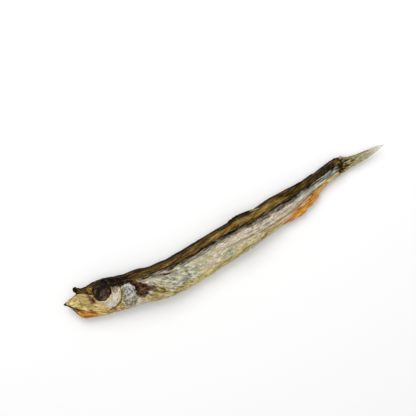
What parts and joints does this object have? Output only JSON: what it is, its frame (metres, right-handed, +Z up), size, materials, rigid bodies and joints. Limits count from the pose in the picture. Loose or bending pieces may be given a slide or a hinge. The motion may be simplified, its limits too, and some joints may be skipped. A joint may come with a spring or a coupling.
{
  "type": "smoked fish",
  "caption": "Small whole smoked and dried fish with gaping jaws and folded fins, lying on its side; a stiff natural food item to set on a plate or board.",
  "frame": {"origin": "centre of the bounding box, on the surface that the fish rests on", "axes": "+X along the fish towards the tail tip, +Y towards its back, +Z up, out of its left side"},
  "size_m": [0.15, 0.0224, 0.0116],
  "materials": {
    "skin": "satin, dried and wrinkled, brown back, silvery flank, amber towards the anal fin",
    "jaw_skin": "satin, translucent amber with a dark tip",
    "silver_bone": "silvery, pearly sheen",
    "dried_eye": "dull, shrunken, dark brown with a black rim",
    "fin_web": "dry translucent web on thin rays",
    "amber_fin": "dry amber web, darker at its root"
  },
  "bodies": {
    "root": {"body": "skin", "lower_jaw": "jaw_skin", "dorsal_fin": "fin_web", "adipose_fin": "fin_web", "anal_fin": "amber_fin", "tail_fin": "fin_web", "left_upper_jaw_plate": "jaw_skin", "left_eye": "dried_eye", "left_gill_cover": "silver_bone", "left_pectoral_fin": "fin_web", "left_pelvic_fin": "fin_web", "right_upper_jaw_plate": "jaw_skin", "right_eye": "dried_eye", "right_gill_cover": "silver_bone", "right_pectoral_fin": "fin_web", "right_pelvic_fin": "fin_web"}
  },
  "joints": []
}
